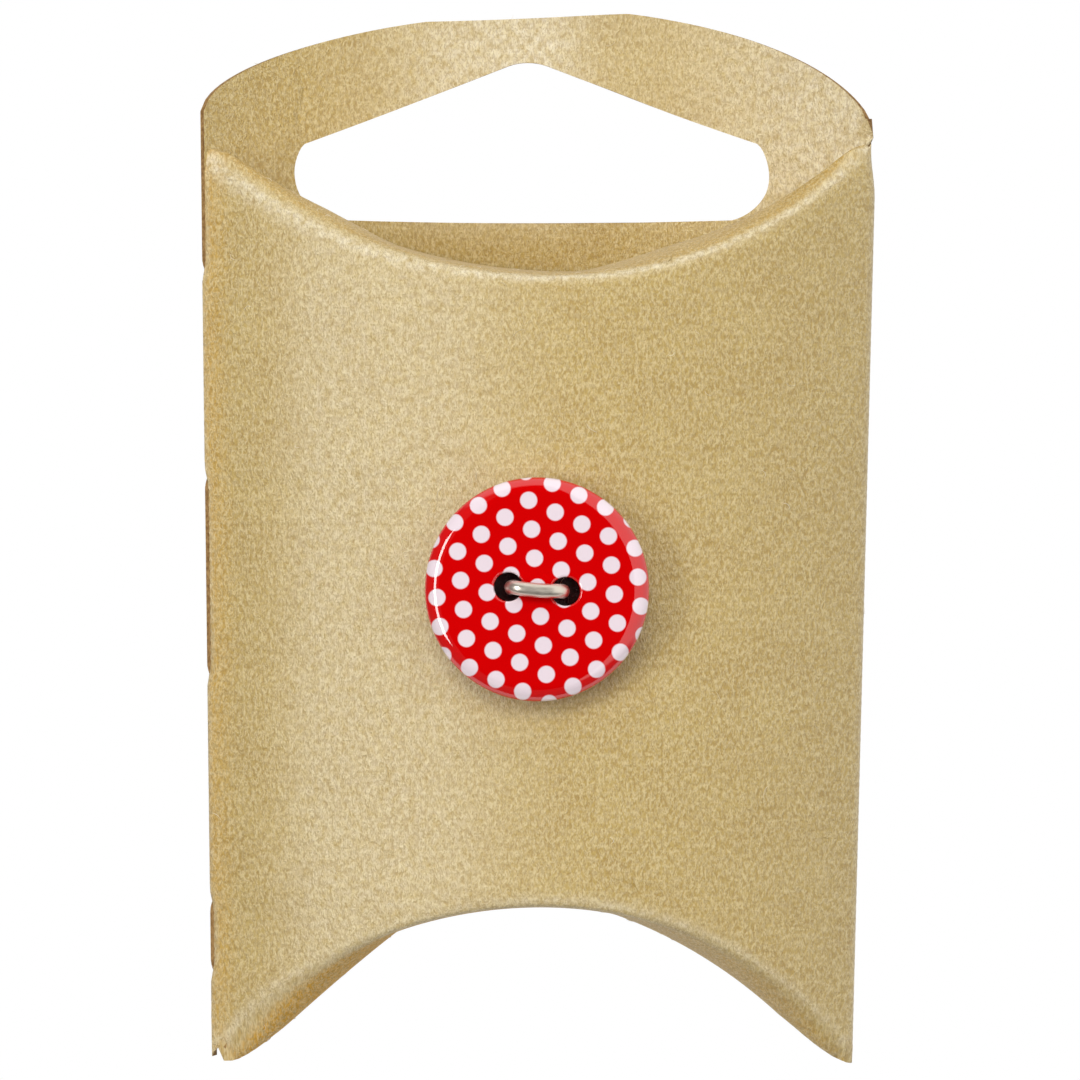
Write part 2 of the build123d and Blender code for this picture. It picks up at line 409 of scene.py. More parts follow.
def inner_points():
    """Points inside the blank: a grid, with closer rows along each crease and side fold."""
    points = []
    for share in steps(first_share, last_share, grid_step / top_half_width)[1:-1]:
        if min(abs(share - 1), abs(share + 1)) < fold_lines[-1] * row_clearance:
            continue
        low, high = bottom_edge(share) + edge_step, top_edge(share) - edge_step
        lines = [crease_level(name, share) for name in creases_of(share)]
        for level in steps(low, high, grid_step):
            clear = all(abs(level - line) > crease_lines[-1] * row_clearance for line in lines)
            if clear and not in_hole(share, level, edge_step):
                points.append((share, level))
        rows = [line + offset for line in lines for offset in crease_lines]
        points += [(share, row) for row in rows if low < row < high]
    for side in (-1, 1):
        for offset in fold_lines:
            share = side + offset
            low, high = bottom_edge(share) + edge_step, top_edge(share) - edge_step
            points += [(share, level) for level in steps(low, high, grid_step)]
    return points


def folded(share, level):
    """Point of the finished pack, in the part's frame, for a point of the blank."""
    point = unfolded(share, level)
    upper = level > -panel_height / 2
    if -1 < share < 1:
        crease = "top_front" if upper else "bottom_front"
        outward = 1 if upper else -1
        point = fold(point, crease)
        if (level - crease_level(crease, share)) * outward > 0:
            point.z += outward * spring(crease, share, level)
    elif share > 1 and not upper:
        point = fold(point, "bottom_back")
    return Vector((point.x, point.y + fold_depth, point.z + corner_height))


# Paled: worn pale with a painted highlight along the creases and folds by a width, a painted highlight
# across the header and a painted sheen across the front, by places across them.
crease_wear_highlight_width = 0.5
left_crease_wear_highlight_width = 1.1
left_crease_wear_highlight_drop = 1.0
left_crease_wear_highlight_shares = (-0.7, 0.1)
fold_wear_and_highlight = 0.6
header_highlight_from = 1.02
header_highlight_levels = (-9, -3)
# Painted highlight across the header's bared inside, by places across it.
header_painted_highlight = (
    (-27.7, 0.0),
    (-20.0, 0.0),
    (-14.0, 0.2),
    (-7.0, 0.8),
    (1.0, 0.95),
    (5.5, 0.25),
    (11.0, 0.2),
    (16.0, 0.45),
    (24.0, 0.85),
    (27.7, 0.85),
)
# Painted sheen across the front's left middle, by places across it.
front_painted_sheen = ((-27.7, 0.0), (-22.0, 0.1), (-18.0, 0.5), (-7.0, 0.45), (-2.0, 0.15), (3.0, 0.0), (27.7, 0.0))
front_sheen_top = (-0.2, 0.8)
front_sheen_foot = (0, 1)

# Painted warm shade, browner: a band beside the left fold, the top flap a little, and the bottom flap, most
# at its left.
warm_reach = 3.0
beside_warmth = 0.5
top_warmth = 0.3
top_warm_band = (0.1, 0.9)
foot_warm_band = (0.3, 1.4)
right_warmth_lost = 0.6
right_warmth_shares = (-0.2, 0.2)


def wear_and_highlight(share, level):
    """How far a place is painted pale: worn with a painted highlight along the front's creases and the
    folds, a painted sheen over the front's middle, and a painted highlight over parts of the header.
    """
    if share > header_highlight_from:
        return between_knots(half_width(level) * (2 - share), header_painted_highlight) * eased(level, *header_highlight_levels)
    if share <= -1:
        return 0.0
    side_gap = abs(1 - abs(share)) * half_width(level)
    amounts = [fold_wear_and_highlight * math.exp(-((side_gap / crease_wear_highlight_width) ** 2))]
    if share < 1:
        leftness = 1 - eased(share, *left_crease_wear_highlight_shares)
        width = crease_wear_highlight_width + (left_crease_wear_highlight_width - crease_wear_highlight_width) * leftness
        below = crease_level("top_front", share) - left_crease_wear_highlight_drop * leftness - level
        amounts.append(math.exp(-((below / width) ** 2)))
        above = level - crease_level("bottom_front", share) - crease_wear_highlight_width
        amounts.append(fold_wear_and_highlight * math.exp(-((above / width) ** 2)))
        inside = eased(below, *front_sheen_top) * eased(above, *front_sheen_foot)
        amounts.append(between_knots(half_width(level) * share, front_painted_sheen) * inside)
    return max(amounts)


def warm_shade(share, level):
    """How far a place is painted browner as warm shade: past the front's creases and beside the left fold.
    """
    if not -1 < share < 1:
        return 0.0
    beside = beside_warmth * (1 - eased((1 + share) * half_width(level), 0, warm_reach))
    above = top_warmth * eased(level - crease_level("top_front", share), *top_warm_band)
    below = eased(crease_level("bottom_front", share) - level, *foot_warm_band)
    below *= 1 - right_warmth_lost * eased(share, *right_warmth_shares)
    return max(beside, above, below)


def make_blank(name):
    """Mesh of the folded sheet's outside, with the blank's flat places as its UV map."""
    outline, hole = blank_outline(), hole_outline()
    flat = [Vector((share * top_half_width, level)) for share, level in outline + hole + inner_points()]
    first_hole = len(outline)
    edges = [(i, (i + 1) % first_hole) for i in range(first_hole)]
    edges += [(first_hole + i, first_hole + (i + 1) % len(hole)) for i in range(len(hole))]
    places, _, triangles = delaunay_2d_cdt(flat, edges, [], 0, merge_distance)[:3]
    kept = []
    for triangle in triangles:
        middle = sum((places[i] for i in triangle), Vector((0, 0))) / 3
        share, level = middle.x / top_half_width, middle.y
        inside = bottom_edge(share) + cut_margin < level < top_edge(share) - cut_margin
        if inside and not in_hole(share, level, cut_margin):
            kept.append(tuple(triangle))
    blank = [(place.x / top_half_width, place.y) for place in places]
    mesh = bpy.data.meshes.new(name)
    mesh.from_pydata([folded(*place) * MM for place in blank], [], kept)
    layer = mesh.uv_layers.new(name="blank")
    for loop in mesh.loops:
        layer.data[loop.index].uv = places[loop.vertex_index]
    # Per-point masks: pale of wear with painted highlight and sheen, and painted warm shade.
    for label, measure in (("wear_and_highlight", wear_and_highlight), ("warm_shade", warm_shade)):
        attribute = mesh.attributes.new(name=label, type="FLOAT", domain="POINT")
        attribute.data.foreach_set("value", [measure(*place) for place in blank])
    tidy = bmesh.new()
    tidy.from_mesh(mesh)
    loose = [vertex for vertex in tidy.verts if not vertex.link_faces]
    bmesh.ops.delete(tidy, geom=loose, context="VERTS")
    bmesh.ops.recalc_face_normals(tidy, faces=tidy.faces)
    tidy.to_mesh(mesh)
    tidy.free()
    return mesh


def linear(red, green, blue):
    """Screen colour from 0 to 255 as the linear colour that Blender works in."""
    def one(value):
        share = value / 255
        return share / 12.92 if share <= 0.04045 else ((share + 0.055) / 1.055) ** 2.4

    return (one(red), one(green), one(blue), 1)


def lay(tree, value, socket):
    """Link an output to an input, or set the input to a plain value."""
    if isinstance(value, bpy.types.NodeSocket):
        tree.links.new(value, socket)
    else:
        socket.default_value = value


def node_links(material):
    """Emptied node tree of a new material, with its shader and output."""
    material.use_nodes = True
    tree = material.node_tree
    tree.nodes.clear()
    shader = tree.nodes.new("ShaderNodeBsdfPrincipled")
    output = tree.nodes.new("ShaderNodeOutputMaterial")
    tree.links.new(shader.outputs["BSDF"], output.inputs["Surface"])
    return tree, shader


def mixed(tree, share, first, second):
    """Colour part of the way from the first to the second."""
    node = tree.nodes.new("ShaderNodeMix")
    node.data_type = "RGBA"
    lay(tree, share, node.inputs[0])
    lay(tree, first, node.inputs[6])
    lay(tree, second, node.inputs[7])
    return node.outputs[2]


def ranged(tree, value, low, high, start=0.0, end=1.0):
    """Value between low and high as a value between start and end, held at both."""
    node = tree.nodes.new("ShaderNodeMapRange")
    lay(tree, value, node.inputs["Value"])
    for label, limit in (("From Min", low), ("From Max", high), ("To Min", start), ("To Max", end)):
        node.inputs[label].default_value = limit
    return node.outputs["Result"]


def maths(tree, operation, first, second=0.0):
    node = tree.nodes.new("ShaderNodeMath")
    node.operation = operation
    lay(tree, first, node.inputs[0])
    lay(tree, second, node.inputs[1])
    return node.outputs["Value"]


def vectors(tree, operation, first, second=(0, 0, 0)):
    node = tree.nodes.new("ShaderNodeVectorMath")
    node.operation = operation
    lay(tree, first, node.inputs[0])
    lay(tree, second, node.inputs[1])
    return node.outputs["Value" if operation in ("LENGTH", "DOT_PRODUCT", "DISTANCE") else "Vector"]


def noise_at(tree, place, scale, shift=(0, 0, 0), detail=1.0):
    """Smooth noise over places, scaled along each axis and shifted."""
    node = tree.nodes.new("ShaderNodeTexNoise")
    node.inputs["Scale"].default_value = 1
    node.inputs["Detail"].default_value = detail
    moved = vectors(tree, "ADD", vectors(tree, "MULTIPLY", place, scale), shift)
    lay(tree, moved, node.inputs["Vector"])
    return node.outputs["Fac"]


def new_group(name, inputs, outputs):
    """Shader node group with named sockets, and the nodes at its two ends."""
    group = bpy.data.node_groups.new(name, "ShaderNodeTree")
    for label, kind, value in inputs:
        socket = group.interface.new_socket(label, in_out="INPUT", socket_type=kind)
        if value is not None:
            socket.default_value = value
    for label in outputs:
        group.interface.new_socket(label, in_out="OUTPUT", socket_type="NodeSocketFloat")
    return group, group.nodes.new("NodeGroupInput"), group.nodes.new("NodeGroupOutput")


def place_group(tree, group, values):
    """Node that uses a group, with its inputs linked or set."""
    node = tree.nodes.new("ShaderNodeGroup")
    node.node_tree = group
    for label, value in values.items():
        lay(tree, value, node.inputs[label])
    return node


# The pulp: fibres and grain by their fineness in each millimetre, and what each adds to the height.
coarse_pale_fibres = 3.6
fine_pale_fibres = 5.6
dark_fibres = 4.6
fibre_width = 0.14
fibre_stretch = 2.2
fibre_core = 0.2
fibre_shifts = ((11, 3, 0), (37, 19, 0), (71, 53, 0))
fibre_breaks = (3.4, 1.8, 1)
fibre_break_range = (0.42, 0.58)
grain_fineness = (9, 4, 1)
grain_shift = (5, 5, 0)
grain_detail = 2
grain_hollows = (0.46, 0.34)
fibre_rise_share = 0.5
hollow_share = 0.4


def pulp_fibre_group():
    """Curled fibres of pulp: thin broken lines where smooth noise crosses its middle value."""
    inputs = [("Place", "NodeSocketVector", None), ("Width", "NodeSocketFloat", fibre_width)]
    group, given, result = new_group("pulp fibres", inputs, ("Pale", "Dark", "Height"))
    place = given.outputs["Place"]

    def fibres(size, shift):
        wave = noise_at(group, place, (size, size / fibre_stretch, 1), shift)
        off = maths(group, "ABSOLUTE", maths(group, "SUBTRACT", wave, 0.5))
        line = ranged(group, maths(group, "DIVIDE", off, given.outputs["Width"]), 1.0, fibre_core)
        parts = ranged(group, noise_at(group, place, fibre_breaks, shift[::-1]), *fibre_break_range)
        return maths(group, "MULTIPLY", line, parts)

    sizes = (coarse_pale_fibres, fine_pale_fibres, dark_fibres)
    first, second, third = [fibres(size, shift) for size, shift in zip(sizes, fibre_shifts)]
    pale = maths(group, "MAXIMUM", first, second)
    grain = noise_at(group, place, grain_fineness, grain_shift, grain_detail)
    dark = maths(group, "MAXIMUM", third, ranged(group, grain, *grain_hollows))
    raised = maths(group, "MULTIPLY", pale, fibre_rise_share)
    sunk = maths(group, "MULTIPLY", dark, hollow_share)
    height = maths(group, "SUBTRACT", maths(group, "ADD", raised, grain), sunk)
    group.links.new(pale, result.inputs["Pale"])
    group.links.new(dark, result.inputs["Dark"])
    group.links.new(height, result.inputs["Height"])
    return group


def pressed_line_group():
    """A dent or a scuff along a straight line of the blank, from one place to another."""
    inputs = [("Place", "NodeSocketVector", None), ("Start", "NodeSocketVector", None)]
    inputs += [("End", "NodeSocketVector", None), ("Width", "NodeSocketFloat", 0.3)]
    group, given, result = new_group("pressed line", inputs, ("Mask",))
    start = given.outputs["Start"]
    away = vectors(group, "SUBTRACT", given.outputs["Place"], start)
    line = vectors(group, "SUBTRACT", given.outputs["End"], start)
    square = vectors(group, "DOT_PRODUCT", line, line)
    along = maths(group, "DIVIDE", vectors(group, "DOT_PRODUCT", away, line), square)
    held = ranged(group, along, 0, 1)
    scaled = group.nodes.new("ShaderNodeVectorMath")
    scaled.operation = "SCALE"
    group.links.new(line, scaled.inputs[0])
    group.links.new(held, scaled.inputs["Scale"])
    gap = vectors(group, "DISTANCE", away, scaled.outputs["Vector"])
    mask = ranged(group, maths(group, "DIVIDE", gap, given.outputs["Width"]), 1, 0)
    group.links.new(mask, result.inputs["Mask"])
    return group


pulp_fibres = pulp_fibre_group()
pressed_line = pressed_line_group()
kraft_tan = linear(182, 151, 72)
kraft_light = linear(191, 162, 85)
kraft_pale = linear(236, 220, 172)
kraft_dark = linear(146, 112, 44)
# Painted warm shade: browner kraft on the flaps facing away from the light and beside the left fold.
kraft_warm_shade = linear(216, 160, 26)
# Pale of wear that also paints highlights and sheen; the loose fibres' bleached pale too.
kraft_worn_and_highlight_pale = linear(244, 234, 208)
# Painted shade and red reflection, seen down the button's holes.
painted_hole_shade = linear(56, 14, 10)
# Cut edge browns: bare pulp, the darker one partly painted shade.
cut_brown_and_shade = linear(120, 84, 40)
cut_pale = linear(176, 140, 88)

# How the board's colour and relief are laid over each other.
mottle_scale = (0.22, 0.22, 1)
wear_highlight_patches = (1.6, 1.2, 1)
wear_highlight_patch_shift = (9, 2, 0)
wear_highlight_patch_detail = 3
wear_highlight_patch_range = (0.32, 0.62)
wear_highlight_patch_shares = (0.25, 0.85)
pale_fibre_share = 0.5
dark_fibre_share = 0.45
face_warm_shade = 0.95
dent_height = 3
relief_strength = 0.7
relief_depth = 0.07
board_gloss = 1.0
board_roughness = 0.45
warm_roughness = 0.85
cut_fineness = 3000
cut_detail = 2
cut_roughness = 0.85
board_sharp_angle = 50

# Between these two levels lies most of what a noise gives.
noise_low = 0.3
noise_high = 0.7

# Where the staple's legs go through the front, in the blank's places, and how wide the painted shade there
# is: a dark red-brown spot for the shade and red reflection seen down the button's holes.
leg_shade_places = ((-2.35, -37.2), (2.35, -37.6))
leg_shade_width = 1.7
leg_shade_length = 0.01
leg_shade_edge = 0.2

# Marks on the card, in the blank's places: start, end, width, and how deep (below 0) or proud.
header_dents = (
    ((75.4, 6.6), (75.0, 4.4), 0.5, -0.8),
    ((75.0, 4.4), (75.5, 2.2), 0.5, -0.8),
    ((75.5, 2.2), (74.9, 0.2), 0.5, -0.6),
)
front_dents = (
    ((-10.9, -9.0), (-10.4, -10.4), 0.35, -0.8),
    ((-23.6, -74.4), (-21.9, -75.2), 0.3, -0.8),
    ((6.3, -60.6), (8.8, -60.8), 0.4, 0.4),
)


def kraft_material(name, dents, warm_shade_share, leg_shade_at):
    """Uncoated board: tan pulp with pale and dark fibres, browner with painted warm shade in places, and
    paler in others with wear, painted highlights and a painted sheen.
    """
    material = bpy.data.materials.new(name)
    tree, shader = node_links(material)
    uv = tree.nodes.new("ShaderNodeUVMap")
    uv.uv_map = "blank"
    place = uv.outputs["UV"]
    fibres = place_group(tree, pulp_fibres, {"Place": place}).outputs
    masks = {}
    # Masks of the pale of wear with painted highlight and sheen, and of the painted warm shade.
    for label in ("wear_and_highlight", "warm_shade"):
        masks[label] = tree.nodes.new("ShaderNodeAttribute")
        masks[label].attribute_name = label
    warm_shade_mask, wear_highlight_mask = masks["warm_shade"].outputs["Fac"], masks["wear_and_highlight"].outputs["Fac"]
    mottle = ranged(tree, noise_at(tree, place, mottle_scale), noise_low, noise_high)
    patches = noise_at(tree, place, wear_highlight_patches, wear_highlight_patch_shift, wear_highlight_patch_detail)
    patchy = ranged(tree, patches, *wear_highlight_patch_range, *wear_highlight_patch_shares)
    colour = mixed(tree, mottle, kraft_tan, kraft_light)
    layers = (
        (warm_shade_mask, warm_shade_share, kraft_warm_shade),
        (wear_highlight_mask, patchy, kraft_worn_and_highlight_pale),
        (fibres["Pale"], pale_fibre_share, kraft_pale),
        (fibres["Dark"], dark_fibre_share, kraft_dark),
    )
    for mask, strength, layer_colour in layers:
        colour = mixed(tree, maths(tree, "MULTIPLY", mask, strength), colour, layer_colour)
    height = fibres["Height"]
    for start, end, width, depth in dents:
        values = {"Place": place, "Start": (*start, 0), "End": (*end, 0), "Width": width}
        mask = place_group(tree, pressed_line, values).outputs["Mask"]
        height = maths(tree, "ADD", height, maths(tree, "MULTIPLY", mask, depth * dent_height))
    # Painted shade: a dark red-brown spot under each button hole, where the staple's legs go through.
    for x, level in leg_shade_at:
        values = {"Place": place, "Start": (x, level, 0), "End": (x, level + leg_shade_length, 0)}
        values["Width"] = leg_shade_width
        mask = place_group(tree, pressed_line, values).outputs["Mask"]
        colour = mixed(tree, ranged(tree, mask, 0.0, leg_shade_edge), colour, painted_hole_shade)
    lay(tree, colour, shader.inputs["Base Color"])
    bump = tree.nodes.new("ShaderNodeBump")
    bump.inputs["Strength"].default_value = relief_strength
    bump.inputs["Distance"].default_value = relief_depth * MM
    lay(tree, height, bump.inputs["Height"])
    lay(tree, bump.outputs["Normal"], shader.inputs["Normal"])
    lay(tree, ranged(tree, warm_shade_mask, 0, 1, board_roughness, warm_roughness), shader.inputs["Roughness"])
    shader.inputs["Specular IOR Level"].default_value = board_gloss
    return material


def cut_edge_material(name):
    """Cut edge of the board: the bare darker pulp between its two faces, darkened partly as painted shade.
    """
    material = bpy.data.materials.new(name)
    tree, shader = node_links(material)
    place = tree.nodes.new("ShaderNodeTexCoord").outputs["Object"]
    plies = noise_at(tree, place, [cut_fineness] * 3, detail=cut_detail)
    layers = ranged(tree, plies, noise_low, noise_high)
    lay(tree, mixed(tree, layers, cut_brown_and_shade, cut_pale), shader.inputs["Base Color"])
    shader.inputs["Roughness"].default_value = cut_roughness
    return material


def in_scene(name, data):
    """New object in the scene, at the origin."""
    thing = bpy.data.objects.new(name, data)
    bpy.context.scene.collection.objects.link(thing)
    return thing


def smoothed(mesh, sharp_angle):
    """The mesh shaded smooth, with edges that turn by more than an angle left hard."""
    mesh.shade_smooth()
    mesh.set_sharp_from_angle(angle=math.radians(sharp_angle))
    return mesh


def finished(thing, name, sharp_angle):
    """Plain mesh object with the modifiers of a working one built in."""
    bpy.context.view_layer.update()
    graph = bpy.context.evaluated_depsgraph_get()
    mesh = bpy.data.meshes.new_from_object(thing.evaluated_get(graph))
    bpy.data.objects.remove(thing)
    mesh.name = name
    return in_scene(name, smoothed(mesh, sharp_angle))


card_blank = in_scene("card_blank", make_blank("card_blank"))
card_blank.data.materials.append(kraft_material("kraft_face", front_dents, face_warm_shade, leg_shade_places))
card_blank.data.materials.append(kraft_material("kraft_inside", header_dents, 0.0, ()))
card_blank.data.materials.append(cut_edge_material("kraft_cut_edge"))

# Faces well in front of the side folds tell which way the blank's faces point.
front_clearance = 5.0
front_start = (fold_depth - front_clearance) * MM
front_faces = [face for face in card_blank.data.polygons if face.center.y < front_start]
facing_out = sum(face.normal.y < 0 for face in front_faces) > len(front_faces) / 2
board = card_blank.modifiers.new("board", "SOLIDIFY")
board.thickness = card_thickness * MM
board.offset = -1 if facing_out else 1
board.use_even_offset = False
board.material_offset = 1
board.material_offset_rim = 2
card_sheet = finished(card_blank, "card_sheet", board_sharp_angle)
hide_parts("card_pack")
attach(card_sheet, "root")

# The loose fibres: short pale hairs of pulp that stand off the uncoated board here and there.
# They are scattered over the outside and the header, each a thin bent thread pressed to the card.
fibres_per_square_metre = 26000.0
fibre_length = 1.1
fibre_thickness = 0.05
fibre_rise = 0.08
fibre_seed = 7

# A thread's three points: shares of its length along and across, and of its rise; and how much
# smaller or larger than that each thread is, at least and at most.
thread_points = (("Start", -0.5, 0.0, -0.4), ("Middle", 0.1, 0.5, 1.6), ("End", 0.5, 0.1, -0.4))
thread_least = (0.3, 0.0, 0.5)
thread_most = (1.3, 1.2, 1.0)
thread_steps = 5
thread_sides = 3
bleach_fineness = 300
bleach_range = (0.35, 0.65)
fibre_roughness = 0.7
fibre_sharp_angle = 180


def fibre_material(name):
    """Bleached pulp, paler than the board that it came out of."""
    material = bpy.data.materials.new(name)
    tree, shader = node_links(material)
    place = tree.nodes.new("ShaderNodeTexCoord").outputs["Object"]
    tone = ranged(tree, noise_at(tree, place, [bleach_fineness] * 3), *bleach_range)
    lay(tree, mixed(tree, tone, kraft_light, kraft_worn_and_highlight_pale), shader.inputs["Base Color"])
    shader.inputs["Roughness"].default_value = fibre_roughness
    return material


def scatter_tree(name, material):
    """Geometry Nodes that lay bent threads on a surface, each turned its own way."""
    tree = bpy.data.node_groups.new(name, "GeometryNodeTree")
    sizes = (("Per Square Metre", fibres_per_square_metre), ("Length", fibre_length * MM))
    sizes += (("Thickness", fibre_thickness * MM), ("Rise", fibre_rise * MM))
    tree.interface.new_socket("Geometry", in_out="INPUT", socket_type="NodeSocketGeometry")
    for label, value in sizes:
        tree.interface.new_socket(label, in_out="INPUT", socket_type="NodeSocketFloat").default_value = value
    tree.interface.new_socket("Seed", in_out="INPUT", socket_type="NodeSocketInt").default_value = fibre_seed
    tree.interface.new_socket("Geometry", in_out="OUTPUT", socket_type="NodeSocketGeometry")
    new, link = tree.nodes.new, tree.links.new
    given, result = new("NodeGroupInput"), new("NodeGroupOutput")

    # Material 0 is the outside. Material 1, the inside, takes threads only where the header bares it.
    side = new("GeometryNodeInputMaterialIndex").outputs[0]
    height = new("ShaderNodeSeparateXYZ")
    link(new("GeometryNodeInputPosition").outputs[0], height.inputs[0])
    on_header = maths(tree, "GREATER_THAN", height.outputs["Z"], corner_height * MM)
    open_sides = maths(tree, "ADD", on_header, 0.5)
    points = new("GeometryNodeDistributePointsOnFaces")
    link(given.outputs["Geometry"], points.inputs["Mesh"])
    link(maths(tree, "LESS_THAN", side, open_sides), points.inputs["Selection"])
    link(given.outputs["Per Square Metre"], points.inputs["Density"])
    link(given.outputs["Seed"], points.inputs["Seed"])

    thread = new("GeometryNodeCurveQuadraticBezier")
    thread.inputs["Resolution"].default_value = thread_steps
    for label, share, bend, lift in thread_points:
        corner = new("ShaderNodeCombineXYZ")
        lay(tree, maths(tree, "MULTIPLY", given.outputs["Length"], share), corner.inputs["X"])
        lay(tree, maths(tree, "MULTIPLY", given.outputs["Length"], bend), corner.inputs["Y"])
        lay(tree, maths(tree, "MULTIPLY", given.outputs["Rise"], lift), corner.inputs["Z"])
        link(corner.outputs["Vector"], thread.inputs[label])
    profile = new("GeometryNodeCurvePrimitiveCircle")
    profile.inputs["Resolution"].default_value = thread_sides
    link(maths(tree, "DIVIDE", given.outputs["Thickness"], 2.0), profile.inputs["Radius"])
    tube = new("GeometryNodeCurveToMesh")
    tube.inputs["Fill Caps"].default_value = True
    link(thread.outputs["Curve"], tube.inputs["Curve"])
    link(profile.outputs["Curve"], tube.inputs["Profile Curve"])

    turn = new("FunctionNodeRandomValue")
    turn.data_type = "FLOAT_VECTOR"
    turn.inputs["Max"].default_value = (0, 0, 2 * math.pi)
    link(given.outputs["Seed"], turn.inputs["Seed"])
    turned = new("FunctionNodeRotateRotation")
    turned.rotation_space = "LOCAL"
    link(points.outputs["Rotation"], turned.inputs["Rotation"])
    link(turn.outputs["Value"], turned.inputs["Rotate By"])
    size = new("FunctionNodeRandomValue")
    size.data_type = "FLOAT_VECTOR"
    size.inputs["Min"].default_value = thread_least
    size.inputs["Max"].default_value = thread_most
    link(given.outputs["Seed"], size.inputs["Seed"])
    laid = new("GeometryNodeInstanceOnPoints")
    link(points.outputs["Points"], laid.inputs["Points"])
    link(tube.outputs["Mesh"], laid.inputs["Instance"])
    link(turned.outputs["Rotation"], laid.inputs["Rotation"])
    link(size.outputs["Value"], laid.inputs["Scale"])
    real = new("GeometryNodeRealizeInstances")
    painted = new("GeometryNodeSetMaterial")
    painted.inputs["Material"].default_value = material
    link(laid.outputs["Instances"], real.inputs["Geometry"])
    link(real.outputs["Geometry"], painted.inputs["Geometry"])
    link(painted.outputs["Geometry"], result.inputs["Geometry"])
    return tree


fibre_bed = in_scene("fibre_bed", card_sheet.data.copy())
scatter = fibre_bed.modifiers.new("loose_fibres", "NODES")
scatter.node_group = scatter_tree("loose_fibres", fibre_material("bleached_pulp"))
sockets = {item.name: item.identifier for item in scatter.node_group.interface.items_tree}
scatter[sockets["Per Square Metre"]] = fibres_per_square_metre
scatter[sockets["Seed"]] = fibre_seed
loose_fibres = finished(fibre_bed, "loose_fibres", fibre_sharp_angle)
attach(loose_fibres, "root")

# The button: polished red resin turned with a flat face and a rounded rim, and two drilled holes
# with rounded mouths. White spots are printed in a triangular pattern over the face and the rim.
button_diameter = 18.0
button_thickness = 3.0
rim_width = 1.3
rim_drop = 0.75
back_bevel_width = 2.2
back_bevel_height = 0.9
edge_round = 0.3
sew_hole_diameter = 2.3
sew_hole_pitch = 4.6
sew_hole_round = 0.22
button_turn = -4.5
button_gap = 0.1
button_segments = 160
hole_segments = 64
rim_steps = 16
corner_steps = 4
mouth_steps = 5
mouth_clear_share = 0.9

# The button's level is the photograph's, which is 1.4 mm under that of its solid.
button_level = -37.4

spot_diameter = 1.36
spot_edge = 0.05
spot_pitch = 2.335
spot_turn = 40.3
spot_start = (-0.39, 2.44)
button_red = linear(210, 2, 4)
spot_white = linear(236, 219, 226)
resin_roughness = 0.03
resin_ior = 1.5
coat_roughness = 0.02
button_sharp_angle = 45

lean = (bottom_bulge - top_bulge) / panel_height
seat_normal = Vector((0, -1, lean)).normalized()
seat_across = Vector((1, 0, 0))
seat_across.rotate(Quaternion(seat_normal, math.radians(button_turn)))
seat_up = seat_normal.cross(seat_across)
seat_origin = Vector((0, fold_depth - bulge(button_level) - button_gap, corner_height + button_level))


def on_seat(x, y, height):
    """Point in the part's frame, in metres, for a place and height over the button's seat."""
    return (seat_origin + seat_across * x + seat_up * y + seat_normal * height) * MM


def ring(count, radius, x=0.0):
    """Places evenly round a circle."""
    turns = [2 * math.pi * step / count for step in range(count)]
    return [(x + radius * math.cos(turn), radius * math.sin(turn)) for turn in turns]


def rounded_corner(start, end, count, outward):
    """Profile points of a quarter round from start to end, with start left out."""
    (r0, h0), (r1, h1) = start, end
    points = []
    for step in range(1, count + 1):
        turn = math.pi / 2 * step / count
        along, away = math.sin(turn), 1 - math.cos(turn)
        across, down = (along, away) if outward else (away, along)
        points.append((r0 + (r1 - r0) * across, h0 + (h1 - h0) * down))
    return points


def rim_profile():
    """Outside of the button as radius and height, from the front face round to the back."""
    radius = button_diameter / 2
    inner = radius - rim_width
    arc = (rim_width**2 + rim_drop**2) / (2 * rim_drop)
    sweep = math.asin(rim_width / arc)
    turns = [sweep * step / rim_steps for step in range(rim_steps)]
    front = [(inner + arc * math.sin(turn), button_thickness - arc * (1 - math.cos(turn))) for turn in turns]
    shoulder = (radius - edge_round / 4, button_thickness - rim_drop + edge_round / 8)
    side_top = (radius, button_thickness - rim_drop - edge_round / 2)
    side_low = (radius, back_bevel_height + edge_round / 2)
    heel = (radius - edge_round, back_bevel_height - edge_round / 2)
    corner = rounded_corner(shoulder, side_top, corner_steps, True)
    low_corner = rounded_corner(side_low, heel, corner_steps, False)
    return front + corner + [side_low] + low_corner + [(radius - back_bevel_width, 0)]


def hole_profile():
    """Wall of a sewing hole as radius and height, from its front mouth to its back one."""
    radius = sew_hole_diameter / 2
    mouth = []
    for step in range(mouth_steps + 1):
        turn = math.pi / 2 * step / mouth_steps
        away = sew_hole_round * (1 - math.sin(turn))
        down = sew_hole_round * (1 - math.cos(turn))
        mouth.append((radius + away, button_thickness - down))
    return mouth + [(r, button_thickness - h) for r, h in mouth[::-1]]


def skin(shape, rings):
    """Faces between each ring of points and the next."""
    for first, second in zip(rings, rings[1:]):
        for i in range(len(first)):
            following = (i + 1) % len(first)
            shape.faces.new((first[i], first[following], second[following], second[i]))


def closed_mesh(shape, name):
    """Mesh of a closed shape, with its faces pointing outwards."""
    bmesh.ops.recalc_face_normals(shape, faces=shape.faces)
    mesh = bpy.data.meshes.new(name)
    shape.to_mesh(mesh)
    shape.free()
    return mesh


